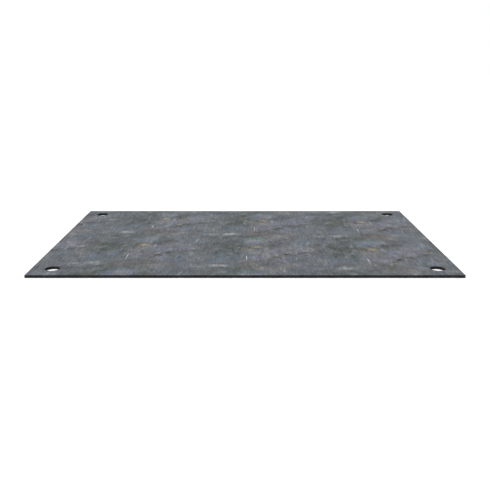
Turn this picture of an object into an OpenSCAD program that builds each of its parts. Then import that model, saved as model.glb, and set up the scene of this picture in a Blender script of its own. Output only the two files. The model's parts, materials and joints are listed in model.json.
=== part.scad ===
// Steel road plate: one piece of hot-rolled plate, laid flat over a trench or a
// soft patch of ground, with a lifting hole flame-cut near each corner.
// The origin is at the middle of the underside, with +Z up through the plate.

/* [Plate] */
// Length of the plate, along X
plate_length = 3000; // [1500:10:6000]
// Width of the plate, along Y
plate_width = 2000; // [1000:10:3000]
// Thickness the plate is rolled to
plate_thickness = 20; // [8:1:40]

/* [Lifting holes] */
// Diameter of each lifting hole
hole_diameter = 100; // [30:1:200]
// From each end of the plate to the middle of the nearest holes
hole_from_end = 150; // [110:5:300]
// From each long side of the plate to the middle of the nearest holes
hole_from_side = 150; // [110:5:300]

/* [Dressed edges] */
// Width of the flat dressed along every outer edge, to take the burr off
edge_break = 1; // [0.2:0.1:3]
// Width of the flat dressed round both mouths of each hole
hole_break = 1; // [0.2:0.1:3]

/* [Hidden] */

// Facets round a hole, enough for a smooth preview
hole_facets = 96;
// How far a cutter runs past the face it opens
overcut = 1;
steel_grey = [0.44, 0.455, 0.473];

// The middles of the four lifting holes
hole_places = [
    for (end = [-1, 1], side = [-1, 1])
        [end * (plate_length / 2 - hole_from_end), side * (plate_width / 2 - hole_from_side)]
];

// A centred rectangle whose four corners are cut at 45 degrees
module broken_rectangle(across, high) {
    x = across / 2;
    y = high / 2;
    c = edge_break;
    polygon([
        [-x + c, -y], [x - c, -y], [x, -y + c], [x, y - c],
        [x - c, y], [-x + c, y], [-x, y - c], [-x, -y + c]
    ]);
}

// The rolled slab with all twelve of its edges dressed: what its plan, its
// section along the length and its section along the width have in common
module slab() {
    translate([0, 0, plate_thickness / 2])
        intersection() {
            linear_extrude(plate_thickness, center = true)
                broken_rectangle(plate_length, plate_width);
            rotate([90, 0, 0])
                linear_extrude(plate_width, center = true)
                    broken_rectangle(plate_length, plate_thickness);
            rotate([90, 0, 90])
                linear_extrude(plate_length, center = true)
                    broken_rectangle(plate_width, plate_thickness);
        }
}

// Cuts one lifting hole through the plate and dresses both its mouths
module lifting_hole() {
    bore_radius = hole_diameter / 2;
    cone_height = hole_break + overcut;
    translate([0, 0, -overcut])
        cylinder(h = plate_thickness + 2 * overcut, r = bore_radius, $fn = hole_facets);
    translate([0, 0, plate_thickness - hole_break])
        cylinder(h = cone_height, r1 = bore_radius, r2 = bore_radius + cone_height, $fn = hole_facets);
    translate([0, 0, -overcut])
        cylinder(h = cone_height, r1 = bore_radius + cone_height, r2 = bore_radius, $fn = hole_facets);
}

module plate() {
    color(steel_grey)
        difference() {
            slab();
            for (place = hole_places)
                translate(place)
                    lifting_hole();
        }
}

plate();
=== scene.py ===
"""A steel road plate: one piece of hot-rolled plate with a lifting hole cut near each corner.

The CAD gives its size and its holes. Here it gets its dressed arrises, flame-cut edges,
rolled unevenness and mill-scale finish. Everything is in metres, in the CAD's frame:
X along the plate, Y across it towards the back, Z up from the ground it lies on.
"""
import json
import math

import bmesh
import bpy
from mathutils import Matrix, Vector


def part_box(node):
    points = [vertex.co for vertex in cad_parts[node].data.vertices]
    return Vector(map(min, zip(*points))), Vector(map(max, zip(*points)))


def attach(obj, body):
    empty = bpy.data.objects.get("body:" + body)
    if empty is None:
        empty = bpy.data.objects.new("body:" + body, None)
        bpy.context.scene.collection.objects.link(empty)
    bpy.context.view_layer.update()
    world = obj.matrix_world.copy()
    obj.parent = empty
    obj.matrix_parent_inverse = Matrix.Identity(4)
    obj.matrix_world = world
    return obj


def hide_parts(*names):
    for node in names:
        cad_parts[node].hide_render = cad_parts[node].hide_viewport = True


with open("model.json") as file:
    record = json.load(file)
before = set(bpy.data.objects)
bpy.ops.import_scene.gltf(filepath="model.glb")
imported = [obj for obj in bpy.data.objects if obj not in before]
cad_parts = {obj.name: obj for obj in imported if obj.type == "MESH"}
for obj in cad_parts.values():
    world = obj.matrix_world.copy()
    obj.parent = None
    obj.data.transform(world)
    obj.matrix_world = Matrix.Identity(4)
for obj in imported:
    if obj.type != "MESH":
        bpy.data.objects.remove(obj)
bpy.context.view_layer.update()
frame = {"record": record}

# ---------------------------------------------------------------- sizes from the frame

LOW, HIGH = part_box("plate")
LENGTH, WIDTH, THICKNESS = HIGH - LOW
BORES = [mount for mount in frame["record"]["mounts"] if mount["kind"] == "bore"]
HOLES = [Vector(bore["pos_m"]) for bore in BORES]
HOLE_RADIUS = BORES[0]["dims"]["r_mm"] / 1000
# The flat dressed along every sharp edge: a bore's stated length stops short of it at both mouths
ARRIS = (THICKNESS - BORES[0]["dims"]["length_mm"] / 1000) / 2
# From a hole's middle to the plate's end and to its side
HOLE_FROM_END = HIGH.x - max(hole.x for hole in HOLES)
HOLE_FROM_SIDE = HIGH.y - max(hole.y for hole in HOLES)

# ---------------------------------------------------------------- modelling by hand


def deselect_everything():
    for thing in bpy.context.selected_objects:
        thing.select_set(False)


def start_editing(piece):
    deselect_everything()
    piece.select_set(True)
    bpy.context.view_layer.objects.active = piece
    bpy.ops.object.mode_set(mode="EDIT")
    bpy.ops.mesh.select_mode(type="VERT")
    bpy.ops.mesh.select_all(action="DESELECT")


def stop_editing():
    bpy.ops.object.mode_set(mode="OBJECT")


def pick_edges(piece, wanted):
    """Selects the edges of the piece being edited for which wanted(one end, other end) is true."""
    bpy.ops.mesh.select_all(action="DESELECT")
    bpy.ops.mesh.select_mode(type="EDGE")
    mesh = bmesh.from_edit_mesh(piece.data)
    for edge in mesh.edges:
        edge.select_set(wanted(*(v.co for v in edge.verts)))
    bmesh.update_edit_mesh(piece.data)


def pick_faces(piece, wanted):
    """Selects the faces of the piece being edited for which wanted(middle, normal) is true."""
    bpy.ops.mesh.select_all(action="DESELECT")
    bpy.ops.mesh.select_mode(type="FACE")
    mesh = bmesh.from_edit_mesh(piece.data)
    mesh.normal_update()
    for face in mesh.faces:
        face.select_set(wanted(face.calc_center_median(), face.normal))
    bmesh.update_edit_mesh(piece.data)


def cut_across(axis, line):
    """Bisects all that is being edited with a plane square to one axis."""
    bpy.ops.mesh.select_all(action="SELECT")
    normal = [0, 0, 0]
    normal[axis] = 1
    point = [0, 0, 0]
    point[axis] = line
    bpy.ops.mesh.bisect(plane_co=point, plane_no=normal)


CELL = 0.015  # side of a mesh cell on the plate's faces
NEAR = CELL / 10  # two places closer than this are taken as one
RING_CUTS = 5  # cuts across the faces between a hole and the square round it


def subdivide_band(piece, axis, low, high):
    """Cuts the band between two cut lines into cells, square to one axis."""
    def inside(a, b):
        along = abs(a[axis] - b[axis]) > NEAR
        return along and low < (a[axis] + b[axis]) / 2 < high

    pick_edges(piece, inside)
    bpy.ops.mesh.subdivide(number_cuts=round((high - low) / CELL) - 1)


def lay_out_sheet():
    """The plate's top face as a grid of cells, with rings of them round each hole."""
    bpy.ops.mesh.primitive_plane_add(size=1, location=(0, 0, HIGH.z))
    piece = bpy.context.active_object
    piece.name = piece.data.name = "road_plate"
    start_editing(piece)
    bpy.ops.mesh.select_all(action="SELECT")
    bpy.ops.transform.resize(value=(LENGTH, WIDTH, 1))
    stop_editing()
    bpy.ops.object.transform_apply(location=True, rotation=True, scale=True)
    start_editing(piece)

    x_inner = HIGH.x - 2 * HOLE_FROM_END
    y_inner = HIGH.y - 2 * HOLE_FROM_SIDE
    x_lines = [LOW.x, -x_inner, 0, x_inner, HIGH.x]
    y_lines = [LOW.y, -y_inner, 0, y_inner, HIGH.y]
    for axis, lines in enumerate((x_lines, y_lines)):
        for line in lines[1:-1]:
            cut_across(axis, line)

    def corner(middle, normal):
        return abs(middle.x) > x_inner and abs(middle.y) > y_inner

    pick_faces(piece, corner)
    bpy.ops.mesh.delete(type="ONLY_FACE")
    for axis, lines in enumerate((x_lines, y_lines)):
        for low, high in zip(lines, lines[1:]):
            subdivide_band(piece, axis, low, high)
    for hole in HOLES:
        ring_hole(piece, hole)
    return piece


def ring_hole(piece, hole):
    """Joins a round hole to the empty square that stands round it."""
    sides = 4 * round(2 * HOLE_FROM_END / CELL)
    bpy.ops.mesh.select_all(action="DESELECT")
    bpy.ops.mesh.primitive_circle_add(
        vertices=sides, radius=HOLE_RADIUS, location=(hole.x, hole.y, HIGH.z))
    reach = max(HOLE_FROM_END, HOLE_FROM_SIDE) + NEAR

    def on_square(a, b):
        middle = (a + b) / 2 - hole
        on_x_line = abs(abs(middle.x) - HOLE_FROM_END) < NEAR and abs(middle.y) < reach
        on_y_line = abs(abs(middle.y) - HOLE_FROM_SIDE) < NEAR and abs(middle.x) < reach
        return on_x_line and abs(a.x - b.x) < NEAR or on_y_line and abs(a.y - b.y) < NEAR

    def on_circle(a, b):
        return ((a + b) / 2 - hole).to_2d().length < HOLE_RADIUS + NEAR

    pick_edges(piece, lambda a, b: on_square(a, b) or on_circle(a, b))
    bpy.ops.mesh.bridge_edge_loops(number_cuts=RING_CUTS, interpolation="LINEAR")


BORE_REACH = HOLE_RADIUS + ARRIS * 0.9  # past the middle of a mouth's dressed faces, not their rim


def in_a_bore(middle):
    """Whether the middle of a face or an edge lies in a hole, counting the dressed mouths."""
    return any((middle - hole).to_2d().length < BORE_REACH for hole in HOLES)


WALL_ROWS = 4  # rows of cells down a cut edge
SHARP = math.radians(60)  # an edge that turns more than this is dressed
ARRIS_CUTS = 2  # facets across a dressed edge


def thicken(piece):
    """Extrudes the sheet to its thickness, dresses every sharp edge and divides the cut walls."""
    bpy.ops.mesh.select_mode(type="FACE")
    bpy.ops.mesh.select_all(action="SELECT")
    bpy.ops.mesh.extrude_region_move(TRANSFORM_OT_translate={"value": (0, 0, -THICKNESS)})
    bpy.ops.mesh.select_all(action="SELECT")
    bpy.ops.mesh.normals_make_consistent(inside=False)
    bpy.ops.mesh.select_all(action="DESELECT")
    bpy.ops.mesh.select_mode(type="EDGE")
    bpy.ops.mesh.edges_select_sharp(sharpness=SHARP)
    bpy.ops.mesh.bevel(offset=ARRIS, offset_type="OFFSET", segments=ARRIS_CUTS, profile=0.5)

    def outer_wall(middle, normal):
        upright = abs(normal.z) < 0.1
        half_way_down = abs(middle.z - THICKNESS / 2) < THICKNESS / 4
        return upright and half_way_down and not in_a_bore(middle)

    pick_faces(piece, outer_wall)
    bpy.ops.mesh.subdivide(number_cuts=WALL_ROWS - 1)

    def down_a_bore(a, b):
        upright = abs(a.z - b.z) > THICKNESS / 2
        return upright and in_a_bore((a + b) / 2)

    pick_edges(piece, down_a_bore)
    bpy.ops.mesh.subdivide(number_cuts=WALL_ROWS - 1)

    # the dressed faces beside the walls now have many sides, and each becomes a fan of triangles
    bpy.ops.mesh.select_all(action="DESELECT")
    bpy.ops.mesh.select_mode(type="FACE")
    bpy.ops.mesh.select_face_by_sides(number=4, type="GREATER")
    bpy.ops.mesh.poke()


RIM_FADE = 0.04  # the rolled faces' hollows grow to their full depth this far in from a cut
PAST_ARRIS = ARRIS * 1.1  # a point further in than this is off the dressed edge


def from_cut_edge(point):
    """How far a point lies, in plan, from the nearest cut edge or hole wall."""
    to_hole = min((point - hole).to_2d().length for hole in HOLES) - HOLE_RADIUS
    return min(HIGH.x - abs(point.x), HIGH.y - abs(point.y), to_hole)


def group_vertices(piece):
    """Names the vertices that wear in the same way: the rolled faces, the cut walls and the rims."""
    names = ("rolled", "walls", "rims")
    rolled, walls, rims = (piece.vertex_groups.new(name=name) for name in names)
    for vertex in piece.data.vertices:
        inside = from_cut_edge(vertex.co)
        down = min(HIGH.z - vertex.co.z, vertex.co.z - LOW.z)
        if inside > PAST_ARRIS:
            rolled.add([vertex.index], min(inside / RIM_FADE, 1), "REPLACE")
        else:
            rims.add([vertex.index], 1, "REPLACE")
        if down > PAST_ARRIS:
            walls.add([vertex.index], 1, "REPLACE")


# Each relief presses a group of vertices inwards. After the group come its hollows' size and
# depth in metres, how clearly they stand apart, and how many times they are drawn out downwards.
RELIEFS = [
    ("rolling waves", "rolled", 0.30, 0.0004, 1.5, 1),
    ("dents", "rolled", 0.05, 0.0008, 4.0, 1),
    ("drag lines", "walls", 0.009, 0.0004, 1.5, 30),
    ("torch wander", "walls", 0.06, 0.0005, 1.5, 30),
    ("nicks", "rims", 0.035, 0.0012, 4.0, 1),
]
HOLLOW_DETAIL = 2  # how many finer hollows lie on a relief's largest ones


def press_in(piece, name, group, size, depth, contrast, drawn_down):
    """Applies one relief: hollows of about this size in a group of vertices, never outwards."""
    hollows = bpy.data.textures.new(name, "CLOUDS")
    hollows.noise_scale = 1
    hollows.noise_depth = HOLLOW_DETAIL
    hollows.contrast = contrast
    # brighter as the contrast rises, so that most of the surface stays at its full height
    hollows.intensity = 0.85 + contrast / 4
    hollows.use_clamp = True
    guide = bpy.data.objects.new(name, None)
    guide.scale = (size, size, size * drawn_down)
    bpy.context.scene.collection.objects.link(guide)
    press = piece.modifiers.new(name, "DISPLACE")
    press.texture = hollows
    press.texture_coords = "OBJECT"
    press.texture_coords_object = guide
    press.vertex_group = group
    press.mid_level = 1
    press.strength = depth
    bpy.ops.object.modifier_apply(modifier=name)
    bpy.data.objects.remove(guide)


def wear(piece):
    """Applies every relief to the finished shape."""
    group_vertices(piece)
    for relief in RELIEFS:
        press_in(piece, *relief)


def build_plate():
    piece = lay_out_sheet()
    thicken(piece)
    stop_editing()
    wear(piece)
    return piece


# ---------------------------------------------------------------- the finish laid out flat

# The map is 1 across and 1 high, and these sizes and places are in its units
MAP_GAP = 0.004  # left empty between neighbours
FACE_SHARE = 0.992  # the top face's width
TOP_CORNER = (MAP_GAP, MAP_GAP)
BELOW_CORNER = (MAP_GAP, 2 * MAP_GAP + FACE_SHARE * WIDTH / LENGTH)
BELOW_SHARE = 0.47  # the underside's width
STRIP_LEFT = BELOW_CORNER[0] + BELOW_SHARE + 3 * MAP_GAP
STRIP_HEIGHT = 0.022  # a strip of cut edge, from the plate's underside to its top
STRIP_SCALE = 0.5 / LENGTH  # of strip, to a metre of cut edge
HOLE_COLUMN = 0.1  # from one hole's strip to the next one's in its row

FIRST_HOLE_ROW = 4  # the first four rows of strips hold the plate's sides
FULL_TURN = 2 * math.pi
LEVEL = 0.7  # a face whose normal rises or falls more than this is a rolled one


def on_rectangle(point, corner, share):
    """Where a point of a rolled face lies on the map, on a rectangle of this share of its width."""
    scale = share / LENGTH
    return corner[0] + (point.x - LOW.x) * scale, corner[1] + (point.y - LOW.y) * scale


def on_strip(along, height, row, left=STRIP_LEFT):
    """Where a point of a cut wall lies on the map: so far along a strip, and so high on it."""
    bottom = BELOW_CORNER[1] + row * (STRIP_HEIGHT + 2 * MAP_GAP)
    return left + along * STRIP_SCALE, bottom + height / THICKNESS * STRIP_HEIGHT


def on_wall(point, middle):
    """The map place of a point on a cut wall or in a hole, given its face's middle."""
    height = point.z - LOW.z
    if in_a_bore(middle):
        number = min(range(len(HOLES)), key=lambda n: (HOLES[n] - middle).to_2d().length)
        out = middle - HOLES[number]
        round_to_middle = math.atan2(out.y, out.x)
        out = point - HOLES[number]
        # the short way on from the middle, so that no face is torn where the strip's ends meet
        turn = math.atan2(out.y, out.x) - round_to_middle
        turn = (turn + math.pi) % FULL_TURN - math.pi
        along = (round_to_middle + turn + math.pi) * HOLE_RADIUS
        row, column = divmod(number, 2)
        return on_strip(along, height, FIRST_HOLE_ROW + row, STRIP_LEFT + column * HOLE_COLUMN)
    if HIGH.y - abs(middle.y) < HIGH.x - abs(middle.x):
        return on_strip(point.x - LOW.x, height, 0 if middle.y < 0 else 1)
    return on_strip(point.y - LOW.y, height, 2 if middle.x < 0 else 3)


def lay_flat(piece):
    """Unwraps the plate: the top face right across the map, then the underside and the cut walls."""
    flat = piece.data.uv_layers.new(name="OFBake")
    for face in piece.data.polygons:
        for corner in face.loop_indices:
            point = piece.data.vertices[piece.data.loops[corner].vertex_index].co
            if face.normal.z > LEVEL:
                spot = on_rectangle(point, TOP_CORNER, FACE_SHARE)
            elif face.normal.z < -LEVEL:
                spot = on_rectangle(point, BELOW_CORNER, BELOW_SHARE)
            else:
                spot = on_wall(point, face.center)
            flat.data[corner].uv = spot


# ---------------------------------------------------------------- nodes


def place(tree, kind, inputs=None, **settings):
    """Adds a shader node, sets its properties, and fills or links its inputs by name or number."""
    node = tree.nodes.new("ShaderNode" + kind)
    for name, value in settings.items():
        setattr(node, name, value)
    for key, value in (inputs or {}).items():
        if isinstance(value, bpy.types.NodeSocket):
            tree.links.new(value, node.inputs[key])
        else:
            node.inputs[key].default_value = value
    return node


def arithmetic(tree, operation, first, second=0.0, third=0.0):
    return place(tree, "Math", {0: first, 1: second, 2: third}, operation=operation).outputs[0]


def vector_maths(tree, operation, first, second=(0, 0, 0), third=(0, 0, 0)):
    return place(tree, "VectorMath", {0: first, 1: second, 2: third}, operation=operation).outputs[0]


def times(tree, vector, factor):
    """A vector or a colour, all of it multiplied by one factor."""
    return place(tree, "VectorMath", {0: vector, "Scale": factor}, operation="SCALE").outputs[0]


def length_of(tree, vector):
    return place(tree, "VectorMath", {0: vector}, operation="LENGTH").outputs["Value"]


def turn_about_z(tree, vector, angle):
    inputs = {"Vector": vector, "Angle": angle}
    return place(tree, "VectorRotate", inputs, rotation_type="Z_AXIS").outputs[0]


# A Mix node has a set of sockets for each kind of value, and these are the ones for colours
MIX_FIRST = 6
MIX_SECOND = 7
MIX_RESULT = 2


def mix_colours(tree, share, first, second):
    inputs = {"Factor": share, MIX_FIRST: first, MIX_SECOND: second}
    return place(tree, "Mix", inputs, data_type="RGBA").outputs[MIX_RESULT]


def fade(tree, value, none_at, full_at, least=0.0, most=1.0):
    """Turns a value into a share: least where it passes none_at, most where it passes full_at."""
    inputs = {
        "Value": value, "From Min": none_at, "From Max": full_at, "To Min": least, "To Max": most}
    return place(tree, "MapRange", inputs, interpolation_type="SMOOTHSTEP").outputs[0]


def new_group(name, inputs, outputs):
    """An empty shader group, with sockets given as name: kind. Returns its tree and its two ends."""
    tree = bpy.data.node_groups.new(name, "ShaderNodeTree")
    for in_out, sockets in (("INPUT", inputs), ("OUTPUT", outputs)):
        for socket, kind in sockets.items():
            tree.interface.new_socket(socket, in_out=in_out, socket_type="NodeSocket" + kind)
    return tree, tree.nodes.new("NodeGroupInput").outputs, tree.nodes.new("NodeGroupOutput").inputs


def use_group(tree, group, **inputs):
    """Places a group. Its sockets are named by keyword, with _ for a space."""
    node = place(tree, "Group", node_tree=group)
    for key, value in inputs.items():
        socket = node.inputs[key.replace("_", " ").capitalize()]
        if isinstance(value, bpy.types.NodeSocket):
            tree.links.new(value, socket)
        else:
            socket.default_value = value
    return node


STUDIO_GAIN = 1.4  # how much brighter than its own colour the studio lights a level face
SKY_SHEEN = 0.03  # and what the sky's reflection adds to it


def seen(red, green, blue):
    """The colour that a face needs to read as this under the studio's light, 0 to 255 a channel."""
    def own(value):
        value /= 255
        # the screen's own curve undone, then the light and the sheen taken off
        linear = value / 12.92 if value <= 0.04045 else ((value + 0.055) / 1.055) ** 2.4
        return max(linear - SKY_SHEEN, 0.0) / STUDIO_GAIN

    return (own(red), own(green), own(blue), 1.0)


# ---------------------------------------------------------------- shared effects

SHEET = 0.894  # the mill scale's pattern comes again after this length, both ways
SHEET_TURN = math.radians(4.37)  # how far the pattern is turned from the plate's own axes
SHEET_CORNER = (-0.2, -0.8, 0.0)  # one corner of the pattern, on the plate
RAGGED_NOISE = {"Detail": 4.0, "Roughness": 0.6}  # how ragged the pushed marks' edges are


def ragged_group():
    """Object coordinates pushed about a little, so that nothing drawn on them has a clean edge."""
    tree, given, out = new_group(
        "Ragged place", {"Vector": "Vector", "Push": "Float", "Size": "Float"}, {"Vector": "Vector"})
    scale = arithmetic(tree, "DIVIDE", 1.0, given["Size"])
    inputs = {"Vector": given["Vector"], "Scale": scale, **RAGGED_NOISE}
    blotches = place(tree, "TexNoise", inputs).outputs["Color"]
    centred = vector_maths(tree, "SUBTRACT", blotches, (0.5, 0.5, 0.5))
    flat = vector_maths(tree, "MULTIPLY", centred, (2, 2, 0))
    step = times(tree, flat, given["Push"])
    tree.links.new(vector_maths(tree, "ADD", given["Vector"], step), out["Vector"])
    return tree


def grain_group():
    """Noise whose largest blotches are of one size, drawn out Run times along each axis."""
    tree, given, out = new_group(
        "Drawn grain",
        {"Vector": "Vector", "Run": "Vector", "Size": "Float", "Detail": "Float", "Roughness": "Float"},
        {"Height": "Float", "Fields": "Color"})
    inputs = {
        "Vector": vector_maths(tree, "DIVIDE", given["Vector"], given["Run"]),
        "Scale": arithmetic(tree, "DIVIDE", 1.0, given["Size"]),
        "Detail": given["Detail"],
        "Roughness": given["Roughness"],
    }
    drawn = place(tree, "TexNoise", inputs).outputs
    tree.links.new(drawn["Fac"], out["Height"])
    tree.links.new(drawn["Color"], out["Fields"])
    return tree


def cut_distance_group():
    """How far a point lies, in plan, from the nearest cut edge or hole wall."""
    tree, given, out = new_group("From the cut", {"Vector": "Vector"}, {"Distance": "Float"})
    # the plate is the same in all four quarters, so each is folded onto the one at its high corner
    folded = vector_maths(tree, "ABSOLUTE", given["Vector"])
    inwards = vector_maths(tree, "SUBTRACT", (HIGH.x, HIGH.y, 0), folded)
    sides = place(tree, "SeparateXYZ", {0: inwards}).outputs
    to_sides = arithmetic(tree, "MINIMUM", sides["X"], sides["Y"])
    from_hole = vector_maths(tree, "SUBTRACT", inwards, (HOLE_FROM_END, HOLE_FROM_SIDE, 0))
    level = vector_maths(tree, "MULTIPLY", from_hole, (1, 1, 0))
    to_hole = arithmetic(tree, "SUBTRACT", length_of(tree, level), HOLE_RADIUS)
    tree.links.new(arithmetic(tree, "MINIMUM", to_sides, to_hole), out["Distance"])
    return tree


def mark_group():
    """A soft-edged oval mark of any size and turn, which comes again on each repeat of the pattern."""
    inputs = {
        "Place": "Vector", "Middle": "Vector", "Half size": "Vector", "Turn": "Float",
        "Softness": "Float"}
    tree, given, out = new_group("Soft mark", inputs, {"Mask": "Float"})
    away = vector_maths(tree, "SUBTRACT", given["Place"], given["Middle"])
    half = SHEET / 2
    nearest = vector_maths(tree, "WRAP", away, (half, half, half), (-half, -half, -half))
    turned = turn_about_z(tree, nearest, given["Turn"])
    scaled = vector_maths(tree, "DIVIDE", turned, given["Half size"])
    inner = arithmetic(tree, "SUBTRACT", 1.0, given["Softness"])
    outer = arithmetic(tree, "ADD", 1.0, given["Softness"])
    tree.links.new(fade(tree, length_of(tree, scaled), outer, inner), out["Mask"])
    return tree


RAGGED = ragged_group()
GRAIN = grain_group()
FROM_CUT = cut_distance_group()
MARK = mark_group()


def grain(tree, here, size, run, detail, roughness):
    """Places the drawn grain. Returns its outputs: one height, and three fields as a colour."""
    return use_group(
        tree, GRAIN, vector=here, run=run, size=size, detail=detail, roughness=roughness).outputs


# ---------------------------------------------------------------- the marks on the mill scale

BARE_SCALE = seen(113, 116, 121)

# Each layer is a tint and its marks on the pattern. A mark gives its middle and its size in
# millimetres, its turn in degrees, and its strength. The first layers lie under the last.
CLOUDS = {
    "olive": (seen(75, 84, 75), [
        (60, 520, 220, 330, 5, 0.5), (60, 690, 110, 140, 0, 0.5), (840, 560, 120, 190, 0, 0.55),
        (770, 510, 220, 330, 0, 0.25), (115, 350, 90, 120, 0, 0.55), (35, 395, 90, 120, 0, 0.4),
        (870, 380, 90, 160, 10, 0.5), (120, 620, 60, 150, 0, 0.5), (65, 505, 60, 90, 0, 0.65),
        (845, 280, 60, 100, 0, 0.45), (745, 870, 100, 50, 0, 0.35), (60, 845, 130, 70, 0, 0.4),
        (875, 785, 70, 70, 0, 0.45), (100, 780, 50, 70, 0, 0.4), (865, 55, 60, 60, 0, 0.4),
    ]),
    "dark grey": (seen(78, 80, 83), [
        (385, 630, 130, 220, -20, 0.45), (430, 665, 60, 80, 0, 0.4), (430, 740, 100, 110, 0, 0.15),
        (500, 640, 60, 110, 0, 0.25), (590, 395, 150, 80, 10, 0.25), (740, 790, 170, 80, 0, 0.35),
        (140, 770, 110, 130, 0, 0.4), (255, 610, 60, 80, 0, 0.4), (640, 295, 50, 100, 0, 0.25),
        (265, 295, 80, 60, 0, 0.3), (265, 105, 60, 90, 0, 0.4), (540, 470, 90, 100, 0, 0.3),
        (395, 350, 50, 40, 0, 0.4), (495, 235, 40, 80, 0, 0.35),
    ]),
    "lilac": (seen(139, 141, 154), [
        (250, 690, 230, 150, 0, 0.45), (520, 490, 310, 180, 35, 0.35), (460, 170, 150, 170, 0, 0.3),
        (390, 390, 80, 80, 0, 0.4), (300, 250, 170, 130, 0, 0.4), (560, 600, 130, 150, 0, 0.3),
        (215, 700, 50, 90, 0, 0.6), (240, 380, 60, 150, 0, 0.35), (690, 640, 60, 120, 0, 0.3),
        (820, 440, 60, 90, 0, 0.3),
    ]),
    "slate blue": (seen(102, 115, 126), [
        (45, 240, 170, 200, 0, 0.5), (860, 190, 130, 210, 0, 0.4), (620, 720, 130, 210, 0, 0.35),
        (560, 210, 160, 220, 0, 0.3), (165, 650, 80, 130, 0, 0.3), (55, 240, 50, 130, 0, 0.4),
    ]),
    "warm": (seen(102, 97, 91), [
        (210, 865, 190, 100, 0, 0.45), (290, 60, 260, 150, 0, 0.4), (205, 830, 80, 60, 0, 0.55),
        (540, 310, 90, 60, 0, 0.25), (365, 240, 40, 110, 0, 0.3), (320, 190, 40, 80, 0, 0.3),
        (55, 640, 60, 120, 0, 0.35), (120, 240, 40, 90, 0, 0.3),
    ]),
    "light warm": (seen(142, 139, 135), [
        (430, 870, 140, 120, 0, 0.4), (230, 430, 170, 170, 0, 0.3), (315, 870, 70, 70, 0, 0.35),
        (60, 340, 60, 60, 0, 0.35), (500, 60, 130, 80, 0, 0.3),
    ]),
    "teal": (seen(102, 122, 120), [
        (235, 775, 210, 80, 0, 0.5), (160, 745, 100, 90, 0, 0.25), (140, 865, 50, 100, 0, 0.4),
    ]),
}
CRACKS = {
    "brown halo": (seen(92, 89, 86), [
        (400, 240, 90, 110, -30, 0.25), (500, 330, 140, 70, 20, 0.3), (590, 365, 120, 40, 15, 0.2),
    ]),
    "dark brown": (seen(74, 71, 68), [
        (425, 260, 50, 35, -10, 0.65), (380, 200, 25, 50, -30, 0.4), (405, 235, 20, 60, -20, 0.45),
        (485, 325, 25, 60, 0, 0.6), (520, 335, 60, 25, 15, 0.4), (460, 335, 30, 40, 0, 0.4),
        (570, 365, 90, 20, 20, 0.3), (450, 235, 20, 45, 0, 0.35),
    ]),
    # pale flecks beside the dark crack lines, lighter than the scale round them
    "pale crack flecks": (seen(154, 157, 161), [
        (415, 315, 30, 35, 0, 0.7), (540, 350, 40, 40, 0, 0.25), (655, 325, 30, 90, 0, 0.3),
    ]),
}
STAINS = {
    "rust brown": (seen(86, 80, 70), [
        (195, 505, 35, 90, 0, 0.65), (220, 540, 30, 50, 0, 0.4), (160, 855, 50, 90, 0, 0.25),
        (425, 70, 20, 70, 0, 0.2), (285, 560, 40, 35, 0, 0.3), (665, 500, 30, 60, 0, 0.2),
        (240, 480, 60, 45, 0, 0.35), (825, 550, 45, 70, 0, 0.25),
    ]),
    "pale bloom": (seen(158, 163, 166), [
        (10, 25, 110, 65, 0, 0.9), (740, 0, 100, 60, 0, 0.35), (60, 780, 80, 60, 0, 0.2),
        (335, 495, 20, 100, 0, 0.5), (480, 820, 20, 30, 0, 0.9), (330, 350, 60, 130, 0, 0.15),
    ]),
    "pink bloom": (seen(156, 154, 160), [
        (650, 450, 80, 45, 0, 0.5), (690, 475, 25, 50, 0, 0.5),
    ]),
    "cream rust": (seen(152, 149, 138), [
        (110, 490, 20, 60, 5, 0.6), (345, 155, 25, 60, 0, 0.6), (660, 520, 20, 55, 5, 0.5),
        (245, 530, 80, 60, 0, 0.4),
    ]),
    "ochre rust": (seen(166, 155, 118), [
        (260, 525, 45, 50, 0, 0.55), (245, 540, 60, 30, 0, 0.3),
    ]),
}
SCUFFS = {
    "light": (seen(148, 152, 159), [
        (560, 400, 20, 110, 10, 0.35), (165, 290, 20, 110, 0, 0.3), (510, 570, 20, 60, 0, 0.4),
        (740, 190, 15, 150, 5, 0.3), (770, 155, 10, 100, 0, 0.35), (50, 230, 20, 80, 0, 0.4),
        (95, 600, 35, 80, 0, 0.4), (150, 610, 15, 70, 0, 0.25), (320, 250, 15, 90, 0, 0.3),
        (465, 260, 15, 80, 0, 0.35), (660, 260, 10, 80, 0, 0.25), (780, 620, 15, 120, -5, 0.25),
        (700, 340, 10, 60, 0, 0.3), (655, 660, 35, 80, 0, 0.2), (100, 400, 25, 90, 10, 0.35),
        (475, 305, 25, 50, 0, 0.25),
    ]),
    "dark": (seen(78, 80, 82), [
        (215, 90, 15, 120, 5, 0.35), (360, 100, 15, 90, 0, 0.3), (525, 740, 15, 90, -5, 0.4),
        (375, 590, 15, 110, 10, 0.4), (700, 560, 15, 120, 0, 0.25), (70, 460, 15, 80, 0, 0.4),
        (590, 190, 15, 90, 0, 0.3), (285, 320, 15, 50, 0, 0.35), (345, 690, 15, 90, 10, 0.3),
        (20, 500, 20, 60, 0, 0.4), (430, 655, 25, 50, 0, 0.35), (615, 100, 15, 80, 0, 0.25),
        (850, 320, 20, 90, 0, 0.3), (735, 630, 25, 60, 0, 0.3), (400, 180, 12, 60, 0, 0.3),
    ]),
}
SCRATCHES = {
    "bright": (seen(212, 211, 214), [
        (195, 230, 6, 90, 6, 0.9), (200, 170, 4, 80, 5, 0.6),
    ]),
    "bluish": (seen(165, 172, 190), [
        (655, 695, 8, 110, -7, 0.45), (645, 615, 6, 110, -5, 0.35), (565, 235, 8, 90, 0, 0.35),
    ]),
}


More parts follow.
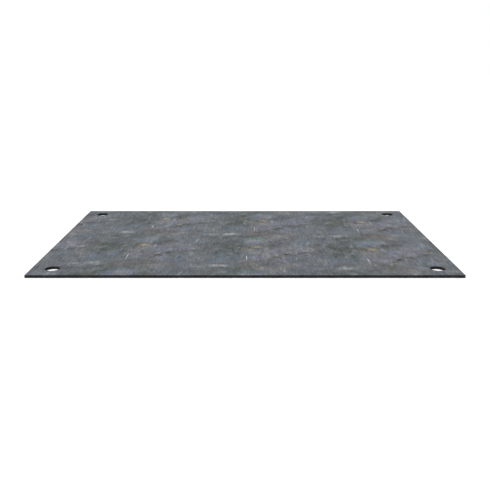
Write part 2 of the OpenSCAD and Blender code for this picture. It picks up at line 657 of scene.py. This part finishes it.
def lay_marks(tree, where, marks, softness):
    """The combined mask of a layer's marks."""
    total = None
    for x, y, wide, tall, turn, strength in marks:
        node = use_group(
            tree, MARK, place=where, middle=(x / 1000, y / 1000, 0),
            half_size=(wide / 2000, tall / 2000, 1), turn=math.radians(-turn), softness=softness)
        shown = arithmetic(tree, "MULTIPLY", node.outputs["Mask"], strength)
        total = shown if total is None else arithmetic(tree, "MAXIMUM", total, shown)
    return total


def on_sheet(tree, here, push, size):
    """Where a point lies on the repeating pattern, pushed about by ragged noise of this size."""
    ragged = use_group(tree, RAGGED, vector=here, push=push, size=size).outputs["Vector"]
    from_corner = vector_maths(tree, "SUBTRACT", ragged, SHEET_CORNER)
    return turn_about_z(tree, from_corner, SHEET_TURN)


def new_material(name):
    """A new material, its nodes, its shader, and the place on the plate that its patterns read."""
    material = bpy.data.materials.new(name)
    material.use_nodes = True
    tree = material.node_tree
    shader = tree.nodes["Principled BSDF"]
    coordinates = tree.nodes.new("ShaderNodeTexCoord").outputs["Object"]
    return material, tree, shader, coordinates


def shade(tree, colour, value, none_at, full_at, darkest, lightest):
    """Darkens and lightens a colour by a value that runs from none_at to full_at."""
    return times(tree, colour, fade(tree, value, none_at, full_at, darkest, lightest))


def roughen(tree, shader, height, strength, depth):
    """Gives the shader a bump whose heights run from 0 to 1, over this depth in metres."""
    bump = place(tree, "Bump", {"Height": height, "Strength": strength, "Distance": depth})
    tree.links.new(bump.outputs["Normal"], shader.inputs["Normal"])


# Each pattern is a drawn grain: the size of its blotches in metres, how many times they are
# drawn out along X, Y and Z, how many finer grains lie on it, and how strong those are.
BLOTCHES = (0.06, (1, 1.3, 1), 6, 0.85)
CRAZING = (0.05, (1.5, 1, 1), 5, 0.6)
CASTS = (0.13, (1, 1.5, 1), 6, 0.9)
MOTTLE = (0.16, (1, 1.2, 1), 7, 0.9)
SPECKS = (0.012, (1, 2.5, 1), 4, 0.7)
HAIRS = (0.009, (1, 11, 1), 4, 0.7)

# How each kind of mark lies: how far it is pushed about, over what size, how soft its edge is,
# and how much of it the blotches break up.
KINDS = [
    (CLOUDS, 0.09, 0.15, 0.6, 0.85),
    (SCUFFS, 0.012, 0.05, 0.6, 0.8),
    (CRACKS, 0.02, 0.04, 0.6, 0.5),
    (STAINS, 0.045, 0.06, 0.8, 0.8),
]
BLOTCH_REACH = (0.32, 0.68)  # the blotches' heights where a mark is most and least broken
LINE_REACH = (0.05, 0.005)  # how far off a crazed line ends, and how near it is at its strongest
LINE_STRENGTH = (0.6, 2)  # a crack mark's strength between the crazed lines and on them

SCRATCH_PUSH = 0.004  # how far a scratch is pushed about
SCRATCH_PUSH_SIZE = 0.05  # and over what size
SCRATCH_SOFTNESS = 0.4
SCRATCH_LEFT = (0.35, 0.6, 0.5, 1.2)  # the hairs' heights, and how much of a scratch is left there


def mark_scale(tree, here):
    """The bare scale's colour under all its marks, and the mask of the cracks and stains."""
    blotches = grain(tree, here, *BLOTCHES)["Fields"]
    fields = place(tree, "SeparateColor", {0: blotches}).outputs
    # thin wandering lines, where one more noise passes through its middle value
    lines = grain(tree, here, *CRAZING)["Height"]
    off_line = arithmetic(tree, "ABSOLUTE", arithmetic(tree, "SUBTRACT", lines, 0.5))
    crazed = fade(tree, off_line, *LINE_REACH, *LINE_STRENGTH)
    colour = BARE_SCALE
    stained = 0.0
    for layers, push, size, softness, broken in KINDS:
        where = on_sheet(tree, here, push, size)
        for number, (tint, marks) in enumerate(layers.values()):
            left = fade(tree, fields[number % 3], *BLOTCH_REACH, 1 - broken, 1 + broken)
            if layers is CRACKS:
                left = arithmetic(tree, "MULTIPLY", left, crazed)
            share = arithmetic(tree, "MULTIPLY", lay_marks(tree, where, marks, softness), left)
            colour = mix_colours(tree, share, colour, tint)
            if layers in (CRACKS, STAINS):
                stained = arithmetic(tree, "MAXIMUM", stained, share)
    return colour, stained


def scratch_scale(tree, here, colour, hairs):
    """The colour with its scratches, broken into hairlines, and their mask."""
    where = on_sheet(tree, here, SCRATCH_PUSH, SCRATCH_PUSH_SIZE)
    left = fade(tree, hairs, *SCRATCH_LEFT)
    scratched = 0.0
    for tint, marks in SCRATCHES.values():
        mask = lay_marks(tree, where, marks, SCRATCH_SOFTNESS)
        share = arithmetic(tree, "MULTIPLY", mask, left)
        colour = mix_colours(tree, share, colour, tint)
        scratched = arithmetic(tree, "MAXIMUM", scratched, share)
    return colour, scratched


# Light and dark over the marks. Each gives two heights of its pattern, and how dark and how
# light the colour is there.
MOTTLE_SHADE = (0.25, 0.75, 0.55, 1.46)
SPECKS_SHADE = (0.2, 0.8, 0.71, 1.29)
HAIRS_SHADE = (0.2, 0.8, 0.66, 1.34)
CAST_REACH = (0.35, 0.65)  # the casts' heights where the scale is coolest and warmest
COOL_CAST = (0.94, 0.99, 1.075, 1)
WARM_CAST = (1.055, 1.02, 0.92, 1)
HEAT_BAND = 0.012  # the cutting flame has darkened the scale this far in from a cut
HEAT_SHADE = 0.5  # how dark it is at the cut itself

MATT = 0.1  # specular level of the scale and of the cut's oxide
SCALE_ROUGHNESS = (0.3, 0.7, 0.58, 0.72)  # two heights of the mottle, and the roughness there
STAIN_ROUGHNESS = 0.15  # a stain is rougher than the scale by this, at its full strength
SCRATCH_ROUGHNESS = -0.3  # and a scratch is smoother by this
# How high the specks, the stains and the scratches stand, against the hairs
SPECK_HEIGHT = 0.5
STAIN_HEIGHT = 0.4
SCRATCH_HEIGHT = -0.8
SCALE_BUMP = (0.5, 0.0004)  # its strength, and its depth in metres


def mill_scale():
    """The rolled faces: blue-grey scale, clouded and stained, with fine scuffs along the rolling."""
    material, tree, shader, here = new_material("mill scale")
    colour, stained = mark_scale(tree, here)

    # cool and warm casts, light and dark mottling from broad to fine, and short hairs
    casts = grain(tree, here, *CASTS)["Height"]
    cast = mix_colours(tree, fade(tree, casts, *CAST_REACH), COOL_CAST, WARM_CAST)
    colour = vector_maths(tree, "MULTIPLY", colour, cast)
    mottle = grain(tree, here, *MOTTLE)["Height"]
    colour = shade(tree, colour, mottle, *MOTTLE_SHADE)
    specks = grain(tree, here, *SPECKS)["Height"]
    colour = shade(tree, colour, specks, *SPECKS_SHADE)
    hairs = grain(tree, here, *HAIRS)["Height"]
    colour = shade(tree, colour, hairs, *HAIRS_SHADE)

    # the band along the cuts, whose inner edge wanders with the mottle
    from_cut = use_group(tree, FROM_CUT, vector=here).outputs["Distance"]
    wandering = arithmetic(tree, "MULTIPLY_ADD", mottle, -HEAT_BAND, from_cut)
    colour = shade(tree, colour, wandering, -HEAT_BAND / 2, HEAT_BAND / 2, HEAT_SHADE, 1)
    colour, scratched = scratch_scale(tree, here, colour, hairs)
    tree.links.new(colour, shader.inputs["Base Color"])

    # stains are rougher than the scale and stand on it, and scratches shine and cut into it
    roughness = fade(tree, mottle, *SCALE_ROUGHNESS)
    roughness = arithmetic(tree, "MULTIPLY_ADD", stained, STAIN_ROUGHNESS, roughness)
    roughness = arithmetic(tree, "MULTIPLY_ADD", scratched, SCRATCH_ROUGHNESS, roughness)
    tree.links.new(roughness, shader.inputs["Roughness"])
    height = arithmetic(tree, "MULTIPLY_ADD", specks, SPECK_HEIGHT, hairs)
    height = arithmetic(tree, "MULTIPLY_ADD", stained, STAIN_HEIGHT, height)
    height = arithmetic(tree, "MULTIPLY_ADD", scratched, SCRATCH_HEIGHT, height)
    roughen(tree, shader, height, *SCALE_BUMP)
    shader.inputs["Specular IOR Level"].default_value = MATT
    return material


# The cut's dark oxide, made darker than the oxide alone so that the edges and hole walls read as in
# shade: its own colour and painted shade together
OXIDE_AND_SHADE_DARK = (0.007, 0.0085, 0.008, 1)
OXIDE_AND_SHADE_PALE = (0.019, 0.020, 0.018, 1)
CUT_RUST = (0.034, 0.024, 0.016, 1)
# The cut's own patterns, given as the scale's are
CUT_PATCHES = (0.05, (1, 1, 1), 4, 0.6)
DRAG_LINES = (0.004, (1, 1, 12), 2, 0.6)
RUST_SPOTS = (0.03, (1, 1, 1), 5, 0.7)
PATCH_REACH = (0.3, 0.7)  # the patches' heights where the cut is darkest and palest
DRAG_SHADE = (0.25, 0.75, 0.7, 1.3)  # as the scale's shades are given
RUST_REACH = (0.58, 0.75)  # the rust's heights where it starts and where it is thickest
RUST_MOST = 0.5  # how much of the cut's own colour it hides there
CUT_ROUGHNESS = (0.7, 0.9)  # bare, and where the rust is thickest
CUT_BUMP = (0.6, 0.0005)  # its strength, and its depth in metres


def flame_cut():
    """The cut edges and hole walls: dark oxide made nearly black with painted shade, with drag lines
    down them.
    """
    material, tree, shader, here = new_material("flame-cut edge")
    patches = grain(tree, here, *CUT_PATCHES)["Height"]
    colour = mix_colours(tree, fade(tree, patches, *PATCH_REACH), OXIDE_AND_SHADE_DARK, OXIDE_AND_SHADE_PALE)
    drag = grain(tree, here, *DRAG_LINES)["Height"]
    colour = shade(tree, colour, drag, *DRAG_SHADE)
    rust = grain(tree, here, *RUST_SPOTS)["Height"]
    rusted = fade(tree, rust, *RUST_REACH, 0, RUST_MOST)
    colour = mix_colours(tree, rusted, colour, CUT_RUST)
    tree.links.new(colour, shader.inputs["Base Color"])
    roughness = fade(tree, rusted, 0, RUST_MOST, *CUT_ROUGHNESS)
    tree.links.new(roughness, shader.inputs["Roughness"])
    roughen(tree, shader, arithmetic(tree, "ADD", drag, rusted), *CUT_BUMP)
    shader.inputs["Specular IOR Level"].default_value = MATT
    return material


# ---------------------------------------------------------------- the studio

FLOOR_SIZE = 120
PALE = (0.9, 0.9, 0.9, 1)
WHITE = (1, 1, 1, 1)
SUN_ENERGY = 1.5
SUN_SPREAD = math.radians(60)  # a wide sun, for soft shadows
SUN_LEAN = (math.radians(30), math.radians(-12), 0)
LENS = 48.34
CAMERA_BACK = 4.2486  # from the plate's front edge to the camera
CAMERA_UP = 1.3973  # from its top face to the camera
CAMERA_DOWN = math.radians(15.569)  # how far the camera looks down
SMOOTH = math.radians(30)  # faces that meet at less than this are shaded as one


def build_floor():
    bpy.ops.mesh.primitive_plane_add(size=FLOOR_SIZE, location=(0, 0, LOW.z))
    floor = bpy.context.active_object
    floor.name = "floor"
    material = bpy.data.materials.new("pale floor")
    material.use_nodes = True
    shader = material.node_tree.nodes["Principled BSDF"]
    shader.inputs["Base Color"].default_value = PALE
    shader.inputs["Roughness"].default_value = 1.0
    shader.inputs["Specular IOR Level"].default_value = 0.0
    floor.data.materials.append(material)


def light_studio():
    world = bpy.data.worlds.new("studio")
    world.use_nodes = True
    background = world.node_tree.nodes["Background"]
    background.inputs["Color"].default_value = WHITE
    background.inputs["Strength"].default_value = 1.0
    bpy.context.scene.world = world
    sun = bpy.data.objects.new("overhead", bpy.data.lights.new("overhead", "SUN"))
    sun.data.energy = SUN_ENERGY
    sun.data.angle = SUN_SPREAD
    sun.rotation_euler = SUN_LEAN
    bpy.context.scene.collection.objects.link(sun)
    bpy.context.scene.view_settings.view_transform = "Standard"


def place_camera():
    camera = bpy.data.objects.new("camera", bpy.data.cameras.new("camera"))
    bpy.context.scene.collection.objects.link(camera)
    camera.data.lens = LENS
    camera.location = (0, LOW.y - CAMERA_BACK, HIGH.z + CAMERA_UP)
    camera.rotation_euler = (math.radians(90) - CAMERA_DOWN, 0, 0)
    bpy.context.scene.camera = camera


def finish_surfaces(piece):
    """Mill scale on the rolled faces, cut oxide darkened with painted shade on the edges and hole
    walls, and smooth shading.
    """
    lay_flat(piece)
    piece.data.materials.append(mill_scale())
    piece.data.materials.append(flame_cut())
    for face in piece.data.polygons:
        face.material_index = 0 if abs(face.normal.z) > LEVEL else 1
    deselect_everything()
    piece.select_set(True)
    bpy.context.view_layer.objects.active = piece
    bpy.ops.object.shade_smooth_by_angle(angle=SMOOTH)


plate = build_plate()
finish_surfaces(plate)
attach(plate, "root")
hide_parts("plate")
build_floor()
light_studio()
place_camera()
